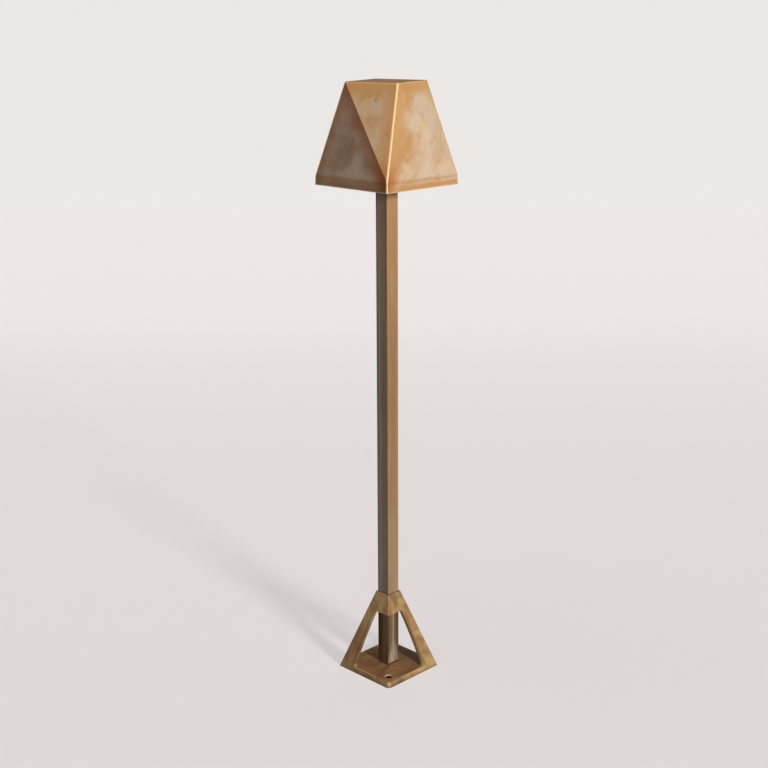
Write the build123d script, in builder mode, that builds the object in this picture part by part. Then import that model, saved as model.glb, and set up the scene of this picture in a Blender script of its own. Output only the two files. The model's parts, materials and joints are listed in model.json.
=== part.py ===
from build123d import *
import math
import os

# Garden post light: a cast brass pyramid foot with two corner struts, a square brass post,
# and a faceted hood whose closed top is turned against its open bottom.
# Millimetres, +Z up. The origin is the centre of the foot's underside. The squares stand
# on their corners in plan: a corner of each points along -Y, which is the front.

os.makedirs("parts", exist_ok=True)

# Post, a square brass tube
post_side = 19.05
post_corner_radius = 1.2
post_wall = 1.6
post_length = 645.8

# Foot plate
plate_side = 90.0
plate_thickness = 6.35
plate_corner_radius = 5.0
plate_edge_radius = 1.5
screw_hole_spacing = 84.6
screw_hole_diameter = 7.0
screw_sink_diameter = 10.5

# Pyramid above the plate: its collar, and the L-section struts at the left and right corners
pyramid_height = 105.0
collar_height = 23.0
collar_rim = 1.6
collar_slip = 0.125
strut_wall = 5.0
strut_head_width = 13.5
strut_foot_width = 22.5
strut_corner_radius = 0.8
window_bow = 1.3
window_head_radius = 2.0
window_foot_radius = 3.0

# Plugs that close the two ends of the post, and the gasket under the lower one
plug_depth = 14.0
plug_slip = 0.1
foot_flange_thickness = 1.25
foot_flange_inset = 1.0
head_flange_thickness = 3.0
gasket_thickness = 1.6

# Hollow threaded nipples with their nuts and washer
nipple_diameter = 9.5
nipple_bore = 6.6
nut_width = 14.0
nut_thickness = 2.4
washer_diameter = 20.0
washer_thickness = 0.8
recess_clearance = 2.0
nipple_end_recess = 0.4

# Grub screws in the back of the collar
grub_diameter = 4.0
grub_length = 4.5
grub_socket_width = 2.0
grub_socket_depth = 2.0

# Lamp cup on top of the post
cup_diameter = 34.0
cup_wall = 1.6
cup_floor = 2.0
cup_height = 33.0
flange_rise = 4.0
flange_thickness = 2.0
flange_width = 5.0
cup_edge_radius = 0.6

# Slip washer between the cup's flange and the spider's hub
slip_washer_thickness = 1.0

# Spider inside the hood
hub_slip = 0.3
hub_wall = 4.7
hub_height = 12.0
arm_width = 10.0
arm_thickness = 3.0
arm_end_gap = 0.8
arm_screw_diameter = 3.0
arm_screw_head_diameter = 5.6
arm_screw_head_height = 2.0
arm_screw_setback = 5.0

# Hood
hem_side = 119.0
skirt_side = 118.0
skirt_height = 10.8
hood_top_side = 69.5
hood_height = 119.0
hood_twist = 15.0
hood_wall = 1.5
hood_edge_radius = 0.8
hem_drop = 43.0
lug_width = 11.0
lug_depth = 8.5
lug_height = 8.0

# Thumb screw through the hub's back
thumb_diameter = 4.0
thumb_head_diameter = 11.0
thumb_head_length = 6.0
thumb_neck_length = 1.5
thumb_tip_gap = 0.3
thumb_flutes = 12
thumb_flute_diameter = 1.6

# Lamp holder
holder_slip = 0.5
holder_height = 24.0
holder_web = 10.0
holder_cavity_diameter = 18.0
holder_screw_spacing = 24.0
holder_screw_diameter = 2.5
holder_screw_head_diameter = 4.0
holder_screw_head_height = 2.0
pin_spacing = 4.0
sleeve_diameter = 2.0
sleeve_bore = 0.84
sleeve_cover = 1.0

# Lamp capsule
pin_diameter = 0.7
pin_length = 7.5
capsule_diameter = 9.5
capsule_height = 23.0
capsule_base_height = 6.0
capsule_base_width = 8.0
capsule_base_depth = 3.6

# Glass dome over the lamp and the seal that it stands on
dome_slip = 0.3
dome_wall = 1.8
dome_height = 42.8
seal_thickness = 1.2

# Leads inside the post and the splice connectors at their lower ends
lead_diameter = 2.0
splice_length = 20.0
splice_mouth_diameter = 7.4
splice_end_diameter = 5.8
splice_spacing = 8.4
splice_grip = 8.0
lead_bend_rise = 40.0
lead_bend_radius = 200.0

# Clearance of a screw in its thread, and of a piece that is pushed into a hole
thread_gap = 0.05
hole_gap = 0.3

# Heights of the seats, from the ground up
post_bottom = plate_thickness + gasket_thickness + foot_flange_thickness
post_top = post_bottom + post_length
collar_bottom = pyramid_height - collar_height
foot_plug_top = post_bottom + plug_depth
cup_bottom = post_top + head_flange_thickness
cup_floor_top = cup_bottom + cup_floor
flange_top = cup_bottom + flange_rise + cup_floor + flange_thickness
hub_bottom = flange_top + slip_washer_thickness
hood_bottom = hub_bottom - hem_drop
skirt_top = hood_bottom + skirt_height
hood_top = hood_bottom + hood_height
holder_top = cup_floor_top + holder_height
web_bottom = holder_top - holder_web
dome_bottom = holder_top + seal_thickness

# Radii and sizes that follow from the ones above
collar_hole = post_side + 2 * collar_slip
collar_side = collar_hole + 2 * collar_rim
collar_corner_radius = post_corner_radius
pyramid_slope = (plate_side - collar_side) / 2 / pyramid_height
tube_inside = post_side - 2 * post_wall
plug_side = tube_inside - 2 * plug_slip
foot_flange_side = post_side - 2 * foot_flange_inset
nipple_hole_radius = nipple_diameter / 2 + hole_gap
nipple_thread_radius = nipple_diameter / 2 + thread_gap
recess_radius = washer_diameter / 2 + recess_clearance
cup_radius = cup_diameter / 2
cup_inside_radius = cup_radius - cup_wall
flange_radius = cup_radius + flange_width
hub_inside_radius = cup_radius + hub_slip
hub_radius = hub_inside_radius + hub_wall
holder_radius = cup_inside_radius - holder_slip
dome_radius = cup_inside_radius - dome_slip
seal_inside_radius = dome_radius - dome_wall
corner_turn = 45.0
face_count = 4
face_step = 360 / face_count


def half_side_at(height):
    # Half the pyramid's side at a height above the ground
    return plate_side / 2 - pyramid_slope * height


def face_plane(angle, height):
    # Upright plane through the axis whose normal points out at this angle, with Y up
    turn = math.radians(angle)
    return Plane(
        origin=(0, 0, height),
        x_dir=(-math.sin(turn), math.cos(turn), 0),
        z_dir=(math.cos(turn), math.sin(turn), 0),
    )


def window_cutter(angle, hand):
    # Opening beside one strut, cut square to a pyramid face and past the open corner.
    # hand is 1 where the strut lies on the negative side of the face, otherwise -1.
    reach = plate_side
    foot_x = strut_foot_width - half_side_at(plate_thickness)
    head_x = strut_head_width - half_side_at(collar_bottom)
    foot_z = plate_thickness + window_foot_radius
    middle_x = (foot_x + head_x) / 2 - window_bow
    middle_z = (foot_z + collar_bottom) / 2
    with BuildPart() as cutter:
        with BuildSketch(face_plane(angle, 0)):
            with BuildLine():
                Polyline(
                    (hand * (foot_x + window_foot_radius), plate_thickness),
                    (hand * (foot_x + window_foot_radius), -plate_thickness),
                    (hand * reach, -plate_thickness),
                    (hand * reach, collar_bottom),
                    (hand * head_x, collar_bottom),
                )
                ThreePointArc(
                    (hand * head_x, collar_bottom), (hand * middle_x, middle_z), (hand * foot_x, foot_z)
                )
                RadiusArc(
                    (hand * foot_x, foot_z),
                    (hand * (foot_x + window_foot_radius), plate_thickness),
                    -hand * window_foot_radius,
                )
            make_face()
            head_corner = vertices().sort_by_distance((hand * head_x, collar_bottom))[0]
            fillet(head_corner, radius=window_head_radius)
        extrude(amount=reach)
    return cutter.part


window_cutters = [
    window_cutter(corner_turn + face_step * side, 1 if side % 2 == 0 else -1) for side in range(face_count)
]

with BuildPart() as pyramid:
    # Solid pyramid with softened corners, hollowed below the collar
    with BuildSketch(Plane.XY):
        RectangleRounded(plate_side, plate_side, strut_corner_radius, rotation=corner_turn)
    with BuildSketch(Plane.XY.offset(pyramid_height)):
        RectangleRounded(collar_side, collar_side, collar_corner_radius, rotation=corner_turn)
    loft(ruled=True)
    hollow_foot = 2 * (half_side_at(0) - strut_wall)
    hollow_head = 2 * (half_side_at(collar_bottom) - strut_wall)
    with BuildSketch(Plane.XY):
        Rectangle(hollow_foot, hollow_foot, rotation=corner_turn)
    with BuildSketch(Plane.XY.offset(collar_bottom)):
        Rectangle(hollow_head, hollow_head, rotation=corner_turn)
    loft(ruled=True, mode=Mode.SUBTRACT)
    for cutter in window_cutters:
        add(cutter, mode=Mode.SUBTRACT)

with BuildPart() as base_casting:
    # Plate with edges in the planes of the pyramid, its upper edge rounded
    with BuildSketch(Plane.XY):
        RectangleRounded(plate_side, plate_side, plate_corner_radius, rotation=corner_turn)
    with BuildSketch(Plane.XY.offset(plate_thickness)):
        plate_top_side = 2 * half_side_at(plate_thickness)
        RectangleRounded(plate_top_side, plate_top_side, plate_corner_radius, rotation=corner_turn)
    loft(ruled=True)
    fillet(edges().group_by(Axis.Z)[-1], radius=plate_edge_radius)
    # Struts and collar
    add(pyramid.part)
    with BuildSketch(Plane.XY.offset(collar_bottom)):
        RectangleRounded(collar_hole, collar_hole, post_corner_radius + collar_slip, rotation=corner_turn)
    extrude(amount=collar_height, mode=Mode.SUBTRACT)
    # Fixing holes in front of and behind the post
    with Locations(Plane.XY.offset(plate_thickness)):
        with GridLocations(0, screw_hole_spacing, 1, 2):
            CounterSinkHole(screw_hole_diameter / 2, screw_sink_diameter / 2)
    # Recess for the lower nut and the hole for its nipple
    with BuildSketch(Plane.XY):
        Circle(recess_radius)
    extrude(amount=nipple_end_recess + nut_thickness + washer_thickness, mode=Mode.SUBTRACT)
    with BuildSketch(Plane.XY):
        Circle(nipple_hole_radius)
    extrude(amount=plate_thickness, mode=Mode.SUBTRACT)
    # Threads of the grub screws, in the two back faces
    for side in range(face_count // 2):
        with BuildSketch(face_plane(corner_turn + face_step * side, pyramid_height - collar_height / 2)):
            Circle(grub_diameter / 2 + thread_gap)
        extrude(amount=plate_side, mode=Mode.SUBTRACT)
base_casting.part.label = "base_casting"
export_step(base_casting.part, "parts/base_casting.step")

with BuildPart() as collar_screws:
    # Grub screws: a flat tip on the post and a hexagon socket in the outer end
    for side in range(face_count // 2):
        seat = face_plane(corner_turn + face_step * side, pyramid_height - collar_height / 2)
        with BuildSketch(seat.offset(post_side / 2)):
            Circle(grub_diameter / 2)
        extrude(amount=grub_length)
        with BuildSketch(seat.offset(post_side / 2 + grub_length)):
            RegularPolygon(grub_socket_width / 2, 6, major_radius=False)
        extrude(amount=-grub_socket_depth, mode=Mode.SUBTRACT)
collar_screws.part.label = "collar_grub_screws"
export_step(collar_screws.part, "parts/collar_grub_screws.step")

with BuildPart() as post_tube:
    with BuildSketch(Plane.XY.offset(post_bottom)):
        RectangleRounded(post_side, post_side, post_corner_radius, rotation=corner_turn)
        Rectangle(tube_inside, tube_inside, rotation=corner_turn, mode=Mode.SUBTRACT)
    extrude(amount=post_length)
post_tube.part.label = "post_tube"
export_step(post_tube.part, "parts/post_tube.step")


def tube_plug(tube_end, inward, flange_side, flange_thickness):
    # Plug for one end of the post: a flange outside, a square body inside, a threaded bore.
    # inward is 1 where the body goes up into the tube and -1 where it goes down into it.
    with BuildPart() as plug:
        with BuildSketch(Plane.XY.offset(tube_end)):
            RectangleRounded(flange_side, flange_side, post_corner_radius, rotation=corner_turn)
        extrude(amount=-inward * flange_thickness)
        with BuildSketch(Plane.XY.offset(tube_end)):
            Rectangle(plug_side, plug_side, rotation=corner_turn)
        extrude(amount=inward * plug_depth)
        with BuildSketch(Plane.XY.offset(tube_end - inward * flange_thickness)):
            Circle(nipple_thread_radius)
        extrude(amount=inward * (flange_thickness + plug_depth), mode=Mode.SUBTRACT)
    return plug.part


foot_plug = tube_plug(post_bottom, 1, foot_flange_side, foot_flange_thickness)
foot_plug.label = "foot_plug"
export_step(foot_plug, "parts/foot_plug.step")

head_plug = tube_plug(post_top, -1, post_side, head_flange_thickness)
head_plug.label = "head_plug"
export_step(head_plug, "parts/head_plug.step")

with BuildPart() as foot_gasket:
    with BuildSketch(Plane.XY.offset(plate_thickness)):
        RectangleRounded(foot_flange_side, foot_flange_side, post_corner_radius, rotation=corner_turn)
        Circle(nipple_hole_radius, mode=Mode.SUBTRACT)
    extrude(amount=gasket_thickness)
foot_gasket.part.label = "foot_gasket"
export_step(foot_gasket.part, "parts/foot_gasket.step")


def threaded_nipple(bottom, top):
    # Hollow nipple that holds a joint together and lets the leads through
    with BuildPart() as nipple:
        with BuildSketch(Plane.XY.offset(bottom)):
            Circle(nipple_diameter / 2)
            Circle(nipple_bore / 2, mode=Mode.SUBTRACT)
        extrude(amount=top - bottom)
    return nipple.part


def lock_nut(bottom):
    # Hexagon nut on a nipple, its upper corners bevelled
    with BuildPart() as nut:
        with BuildSketch(Plane.XY.offset(bottom)):
            RegularPolygon(nut_width / 2, 6, major_radius=False)
        extrude(amount=nut_thickness)
        chamfer(edges().group_by(Axis.Z)[-1], length=nut_thickness / 6)
        with BuildSketch(Plane.XY.offset(bottom)):
            Circle(nipple_thread_radius)
        extrude(amount=nut_thickness, mode=Mode.SUBTRACT)
    return nut.part


foot_nipple = threaded_nipple(nipple_end_recess, foot_plug_top)
foot_nipple.label = "foot_nipple"
export_step(foot_nipple, "parts/foot_nipple.step")

foot_lock_nut = lock_nut(nipple_end_recess)
foot_lock_nut.label = "foot_lock_nut"
export_step(foot_lock_nut, "parts/foot_lock_nut.step")

with BuildPart() as foot_washer:
    with BuildSketch(Plane.XY.offset(nipple_end_recess + nut_thickness)):
        Circle(washer_diameter / 2)
        Circle(nipple_hole_radius, mode=Mode.SUBTRACT)
    extrude(amount=washer_thickness)
foot_washer.part.label = "foot_washer"
export_step(foot_washer.part, "parts/foot_washer.step")

head_nipple = threaded_nipple(post_top - plug_depth, cup_floor_top + nut_thickness + nipple_end_recess)
head_nipple.label = "head_nipple"
export_step(head_nipple, "parts/head_nipple.step")

head_lock_nut = lock_nut(cup_floor_top)
head_lock_nut.label = "head_lock_nut"
export_step(head_lock_nut, "parts/head_lock_nut.step")

with BuildPart() as lamp_cup:
    # Turned cup with a flange round it for the hood
    with BuildSketch(Plane.XZ):
        with BuildLine():
            Polyline(
                (nipple_hole_radius, cup_bottom),
                (cup_radius, cup_bottom),
                (cup_radius, flange_top - flange_thickness),
                (flange_radius, flange_top - flange_thickness),
                (flange_radius, flange_top),
                (cup_radius, flange_top),
                (cup_radius, cup_bottom + cup_height),
                (cup_inside_radius, cup_bottom + cup_height),
                (cup_inside_radius, cup_floor_top),
                (nipple_hole_radius, cup_floor_top),
                close=True,
            )
        make_face()
    revolve(axis=Axis.Z)
    outer_foot = edges().filter_by(GeomType.CIRCLE).group_by(Axis.Z)[0].sort_by(SortBy.RADIUS)[-1]
    rims = edges().filter_by(GeomType.CIRCLE).group_by(Axis.Z)[-1]
    fillet([outer_foot, *rims], radius=cup_edge_radius)
    with Locations(Plane.XY.offset(cup_floor_top)):
        with GridLocations(0, holder_screw_spacing, 1, 2):
            Hole(holder_screw_diameter / 2 + thread_gap)
lamp_cup.part.label = "lamp_cup"
export_step(lamp_cup.part, "parts/lamp_cup.step")

with BuildPart() as slip_washer:
    with BuildSketch(Plane.XY.offset(flange_top)):
        Circle(flange_radius)
        Circle(hub_inside_radius, mode=Mode.SUBTRACT)
    extrude(amount=slip_washer_thickness)
slip_washer.part.label = "slip_washer"
export_step(slip_washer.part, "parts/slip_washer.step")

# Hood: the hull of two squares, one turned against the other. Each side has a skirt face,
# a lower facet that stands on the skirt and meets a corner of the top, and an upper facet
# that hangs from an edge of the top and meets a corner of the skirt.
turn_reach = math.cos(math.radians(hood_twist)) + math.sin(math.radians(hood_twist))
lower_slope = math.atan2(skirt_side / 2 - hood_top_side / 2 * turn_reach, hood_top - skirt_top)


def facet_plane(angle, low_radius, low_z, high_radius, high_z, inset):
    # Plane through a level line at each of two heights, moved in along its normal by inset
    turn = math.radians(angle)
    lean = math.atan2(low_radius - high_radius, high_z - low_z)
    normal = Vector(math.cos(lean) * math.cos(turn), math.cos(lean) * math.sin(turn), math.sin(lean))
    foot = Vector(low_radius * math.cos(turn), low_radius * math.sin(turn), low_z)
    return Plane(origin=foot - normal * inset, z_dir=normal)


def hood_form(inset, top):
    # Block cut back to the skirt and the facets, each moved in by inset
    with BuildPart() as form:
        with BuildSketch(Plane.XY.offset(hood_bottom)):
            Rectangle(2 * hem_side, 2 * hem_side)
        extrude(amount=top - hood_bottom)
        for side in range(face_count):
            angle = corner_turn + face_step * side
            skirt = facet_plane(angle, hem_side / 2, hood_bottom, skirt_side / 2, skirt_top, inset)
            lower = facet_plane(
                angle, skirt_side / 2, skirt_top, hood_top_side / 2 * turn_reach, hood_top, inset
            )
            upper = facet_plane(
                angle + hood_twist, skirt_side / 2 * turn_reach, skirt_top, hood_top_side / 2, hood_top, inset
            )
            for cut in (skirt, lower, upper):
                split(bisect_by=cut, keep=Keep.BOTTOM)
    return form.part


def hood_inside_radius(height):
    # Distance from the axis to the inner face of a lower facet at a height
    outside = skirt_side / 2 - (height - skirt_top) * math.tan(lower_slope)
    return outside - hood_wall / math.cos(lower_slope)


arm_top = hub_bottom + arm_thickness
arm_end = hood_inside_radius(arm_top) - arm_end_gap
arm_screw_radius = arm_end - arm_screw_setback
lug_top = arm_top + lug_height
lug_end = hood_inside_radius(lug_top) + hood_wall / 2
lug_start = arm_end - lug_depth
hood_outer = hood_form(0, hood_top)
hood_inner = hood_form(hood_wall, hood_top - hood_wall)

with BuildPart() as shade_shell:
    add(hood_outer)
    fillet(edges().group_by(Axis.Z)[-1], radius=hood_edge_radius)
    add(hood_inner, mode=Mode.SUBTRACT)
    # Cast lugs on the four lower facets, drilled for the arm screws
    with BuildSketch(Plane.XY.offset(arm_top)):
        with PolarLocations((lug_start + lug_end) / 2, face_count, start_angle=corner_turn):
            Rectangle(lug_end - lug_start, lug_width)
    extrude(amount=lug_height)
    with BuildSketch(Plane.XY.offset(arm_top)):
        with PolarLocations(arm_screw_radius, face_count, start_angle=corner_turn):
            Circle(arm_screw_diameter / 2 + thread_gap)
    extrude(amount=lug_height, mode=Mode.SUBTRACT)
shade_shell.part.label = "shade_shell"
export_step(shade_shell.part, "parts/shade_shell.step")

thumb_plane = face_plane(2 * corner_turn, hub_bottom + hub_height / 2)

with BuildPart() as shade_spider:
    # Hub ring and four arms that end under the hood's lugs
    with BuildSketch(Plane.XY.offset(hub_bottom)):
        with PolarLocations((hub_inside_radius + arm_end) / 2, face_count, start_angle=corner_turn):
            Rectangle(arm_end - hub_inside_radius, arm_width)
    extrude(amount=arm_thickness)
    with BuildSketch(Plane.XY.offset(hub_bottom)):
        Circle(hub_radius)
    extrude(amount=hub_height)
    with BuildSketch(Plane.XY.offset(hub_bottom)):
        Circle(hub_inside_radius)
    extrude(amount=hub_height, mode=Mode.SUBTRACT)
    with BuildSketch(Plane.XY.offset(hub_bottom)):
        with PolarLocations(arm_screw_radius, face_count, start_angle=corner_turn):
            Circle(arm_screw_diameter / 2 + thread_gap)
    extrude(amount=arm_thickness, mode=Mode.SUBTRACT)
    with BuildSketch(thumb_plane):
        Circle(thumb_diameter / 2 + thread_gap)
    extrude(amount=2 * hub_radius, mode=Mode.SUBTRACT)
shade_spider.part.label = "shade_spider"
export_step(shade_spider.part, "parts/shade_spider.step")

with BuildPart() as spider_screws:
    # Screws from below, through the arms and up into the lugs
    with BuildSketch(Plane.XY.offset(hub_bottom)):
        with PolarLocations(arm_screw_radius, face_count, start_angle=corner_turn):
            Circle(arm_screw_head_diameter / 2)
    extrude(amount=-arm_screw_head_height)
    with BuildSketch(Plane.XY.offset(hub_bottom)):
        with PolarLocations(arm_screw_radius, face_count, start_angle=corner_turn):
            Circle(arm_screw_diameter / 2)
    extrude(amount=arm_thickness + lug_height)
spider_screws.part.label = "spider_screws"
export_step(spider_screws.part, "parts/spider_screws.step")

with BuildPart() as thumb_screw:
    # Screw whose tip bears on the cup, with a neck and a fluted head outside the hub
    with BuildSketch(thumb_plane.offset(cup_radius + thumb_tip_gap)):
        Circle(thumb_diameter / 2)
    extrude(amount=hub_radius - cup_radius - thumb_tip_gap + thumb_neck_length)
    with BuildSketch(thumb_plane.offset(hub_radius + thumb_neck_length)):
        Circle(thumb_head_diameter / 2)
        with PolarLocations(thumb_head_diameter / 2, thumb_flutes):
            Circle(thumb_flute_diameter / 2, mode=Mode.SUBTRACT)
    extrude(amount=thumb_head_length)
thumb_screw.part.label = "thumb_screw"
export_step(thumb_screw.part, "parts/thumb_screw.step")

with BuildPart() as lamp_holder:
    # Ceramic holder that fills the cup, hollow below for the nut and the leads
    with BuildSketch(Plane.XZ):
        with BuildLine():
            Polyline(
                (holder_cavity_diameter / 2, cup_floor_top),
                (holder_radius, cup_floor_top),
                (holder_radius, holder_top),
                (0, holder_top),
                (0, web_bottom),
                (holder_cavity_diameter / 2, web_bottom),
                close=True,
            )
        make_face()
    revolve(axis=Axis.Z)
    with Locations(Plane.XY.offset(holder_top)):
        with GridLocations(0, holder_screw_spacing, 1, 2):
            CounterBoreHole(
                holder_screw_diameter / 2 + thread_gap,
                holder_screw_head_diameter / 2 + thread_gap,
                holder_screw_head_height,
            )
        with GridLocations(pin_spacing, 0, 2, 1):
            Hole(sleeve_bore / 2)
    with BuildSketch(Plane.XY.offset(web_bottom)):
        with GridLocations(pin_spacing, 0, 2, 1):
            Circle(sleeve_diameter / 2 + thread_gap)
    extrude(amount=holder_web - sleeve_cover, mode=Mode.SUBTRACT)
lamp_holder.part.label = "lamp_holder"
export_step(lamp_holder.part, "parts/lamp_holder.step")

with BuildPart() as holder_screws:
    head_seat = holder_top - holder_screw_head_height
    with BuildSketch(Plane.XY.offset(head_seat)):
        with GridLocations(0, holder_screw_spacing, 1, 2):
            Circle(holder_screw_head_diameter / 2)
    extrude(amount=holder_screw_head_height)
    with BuildSketch(Plane.XY.offset(head_seat)):
        with GridLocations(0, holder_screw_spacing, 1, 2):
            Circle(holder_screw_diameter / 2)
    extrude(amount=cup_bottom - head_seat)
holder_screws.part.label = "holder_screws"
export_step(holder_screws.part, "parts/holder_screws.step")

with BuildPart() as contact_sleeves:
    with BuildSketch(Plane.XY.offset(web_bottom)):
        with GridLocations(pin_spacing, 0, 2, 1):
            Circle(sleeve_diameter / 2)
            Circle(sleeve_bore / 2, mode=Mode.SUBTRACT)
    extrude(amount=holder_web - sleeve_cover)
contact_sleeves.part.label = "contact_sleeves"
export_step(contact_sleeves.part, "parts/contact_sleeves.step")

with BuildPart() as lamp_capsule:
    # Flat pinched base under a round envelope with a domed top
    with BuildSketch(Plane.XY.offset(holder_top)):
        RectangleRounded(capsule_base_width, capsule_base_depth, capsule_base_depth / 3)
    extrude(amount=capsule_base_height)
    with BuildSketch(Plane.XZ):
        with BuildLine():
            shoulder = holder_top + capsule_base_height
            dome_start = holder_top + capsule_height - capsule_diameter / 2
            Polyline(
                (0, dome_start + capsule_diameter / 2),
                (0, shoulder - capsule_base_depth / 2),
                (capsule_base_depth / 2, shoulder - capsule_base_depth / 2),
                (capsule_diameter / 2, shoulder + capsule_base_depth / 2),
                (capsule_diameter / 2, dome_start),
            )
            CenterArc((0, dome_start), capsule_diameter / 2, 0, 90)
        make_face()
    revolve(axis=Axis.Z)
lamp_capsule.part.label = "lamp_capsule"
export_step(lamp_capsule.part, "parts/lamp_capsule.step")

with BuildPart() as lamp_pins:
    with BuildSketch(Plane.XY.offset(holder_top)):
        with GridLocations(pin_spacing, 0, 2, 1):
            Circle(pin_diameter / 2)
    extrude(amount=-pin_length)
lamp_pins.part.label = "lamp_pins"
export_step(lamp_pins.part, "parts/lamp_pins.step")

with BuildPart() as dome_seal:
    with BuildSketch(Plane.XY.offset(holder_top)):
        Circle(dome_radius)
        Circle(seal_inside_radius, mode=Mode.SUBTRACT)
        with GridLocations(0, holder_screw_spacing, 1, 2):
            Circle(holder_screw_head_diameter / 2 + hole_gap, mode=Mode.SUBTRACT)
    extrude(amount=seal_thickness)
dome_seal.part.label = "dome_seal"
export_step(dome_seal.part, "parts/dome_seal.step")

with BuildPart() as glass_dome:
    # Straight glass wall closed by half a ball
    crown = dome_bottom + dome_height - dome_radius
    with BuildSketch(Plane.XZ):
        with BuildLine():
            Line((dome_radius, dome_bottom), (dome_radius, crown))
            CenterArc((0, crown), dome_radius, 0, 90)
            Line((0, crown + dome_radius), (0, crown + dome_radius - dome_wall))
            CenterArc((0, crown), dome_radius - dome_wall, 0, 90)
            Line((dome_radius - dome_wall, crown), (dome_radius - dome_wall, dome_bottom))
            Line((dome_radius - dome_wall, dome_bottom), (dome_radius, dome_bottom))
        make_face()
    revolve(axis=Axis.Z)
glass_dome.part.label = "glass_dome"
export_step(glass_dome.part, "parts/glass_dome.step")

splice_top = foot_plug_top + splice_length
lead_end = splice_top - splice_grip

with BuildPart() as lead_wires:
    # Two leads from the holder's sleeves down the post, spreading to their connectors
    for hand in (-1, 1):
        near = hand * pin_spacing / 2
        apart = hand * splice_spacing / 2
        with BuildLine() as route:
            FilletPolyline(
                (near, 0, web_bottom),
                (near, 0, splice_top + 2 * lead_bend_rise),
                (apart, 0, splice_top + lead_bend_rise),
                (apart, 0, lead_end),
                radius=[lead_bend_radius, lead_bend_radius],
            )
        with BuildSketch(Plane.XY.offset(web_bottom)):
            with Locations((near, 0)):
                Circle(lead_diameter / 2)
        sweep(path=route.line)
lead_wires.part.label = "lead_wires"
export_step(lead_wires.part, "parts/lead_wires.step")
print("lead bends, radius in mm:", lead_bend_radius, lead_bend_radius)

with BuildPart() as splice_connectors:
    # Tapered twist-on connectors, closed end down on the foot plug
    for hand in (-1, 1):
        with BuildSketch(Plane.XY.offset(foot_plug_top)):
            with Locations((hand * splice_spacing / 2, 0)):
                Circle(splice_end_diameter / 2)
        with BuildSketch(Plane.XY.offset(splice_top)):
            with Locations((hand * splice_spacing / 2, 0)):
                Circle(splice_mouth_diameter / 2)
        loft(ruled=True)
    with BuildSketch(Plane.XY.offset(splice_top)):
        with GridLocations(splice_spacing, 0, 2, 1):
            Circle(lead_diameter / 2 + thread_gap)
    extrude(amount=-splice_grip, mode=Mode.SUBTRACT)
splice_connectors.part.label = "splice_connectors"
export_step(splice_connectors.part, "parts/splice_connectors.step")
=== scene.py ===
import json
import math

import bpy
import numpy as np
from mathutils import Matrix, Vector

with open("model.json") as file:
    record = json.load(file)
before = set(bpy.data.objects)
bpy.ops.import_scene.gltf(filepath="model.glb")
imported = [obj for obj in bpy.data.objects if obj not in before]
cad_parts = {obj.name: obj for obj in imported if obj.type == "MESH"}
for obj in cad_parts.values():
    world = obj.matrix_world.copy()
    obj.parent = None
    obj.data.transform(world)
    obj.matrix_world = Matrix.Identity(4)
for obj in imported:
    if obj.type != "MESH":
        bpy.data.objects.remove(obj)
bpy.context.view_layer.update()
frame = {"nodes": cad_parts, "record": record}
print("frame loaded:", len(frame["nodes"]), "nodes")


# camera

cameraValues = {
    "place": (-0.004219488, -1.594189279, 0.831283150),
    "pitchDown": 0.27582383,
    "roll": -0.0045478975,
    "lens": 63.4275,
    "sensorWidth": 36,
    "clip": (0.05, 50),
}


def makeCamera(values):
    # looks along +Y, pitched down, then rolled about its own line of sight
    pitch, roll = values["pitchDown"], values["roll"]
    forward = Vector((0, math.cos(pitch), -math.sin(pitch)))
    right = Vector((1, 0, 0))
    up = right.cross(forward)
    side = right * math.cos(roll) + up * math.sin(roll)
    top = up * math.cos(roll) - right * math.sin(roll)
    data = bpy.data.cameras.new("camera")
    data.lens = values["lens"]
    data.sensor_width = values["sensorWidth"]
    data.clip_start, data.clip_end = values["clip"]
    camera = bpy.data.objects.new("camera", data)
    bpy.context.collection.objects.link(camera)
    turn = Matrix((side, top, -forward)).transposed().to_4x4()
    camera.matrix_world = Matrix.Translation(values["place"]) @ turn
    bpy.context.scene.camera = camera


makeCamera(cameraValues)
print("camera placed")


# node trees: a Socket adds, subtracts and multiplies like a number, and each step makes its node

class Socket:
    def __init__(self, tree, out):
        self.tree, self.out = tree, out

    def __add__(self, other):
        return self.tree.calc("ADD", self, other)

    def __sub__(self, other):
        return self.tree.calc("SUBTRACT", self, other)

    def __rsub__(self, other):
        return self.tree.calc("SUBTRACT", other, self)

    def __mul__(self, other):
        return self.tree.calc("MULTIPLY", self, other)

    def __abs__(self):
        return self.tree.calc("ABSOLUTE", self)

    def fade(self, span, at=0.0, kind="SMOOTHSTEP"):
        # span: where it starts and is full, counted from at; then what it gives there, or else 0 and 1
        start, full, *given = span
        toStart, toFull = given or (0.0, 1.0)
        node = self.tree.add("ShaderNodeMapRange", interpolation_type=kind)
        limits = {"From Min": at + start, "From Max": at + full, "To Min": toStart, "To Max": toFull}
        for key, value in {"Value": self, **limits}.items():
            self.tree.feed(node.inputs[key], value)
        return Socket(self.tree, node.outputs["Result"])

    def line(self, span, given):
        # the same without the soft ends
        return self.fade((*span, *given), kind="LINEAR")

    def dot(self, vector):
        node = self.tree.add("ShaderNodeVectorMath", operation="DOT_PRODUCT")
        self.tree.feed(node.inputs[0], self)
        self.tree.feed(node.inputs[1], vector)
        return Socket(self.tree, node.outputs["Value"])

    def part(self, axis):
        node = self.tree.add("ShaderNodeSeparateXYZ")
        self.tree.feed(node.inputs[0], self)
        return Socket(self.tree, node.outputs[axis])


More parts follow.
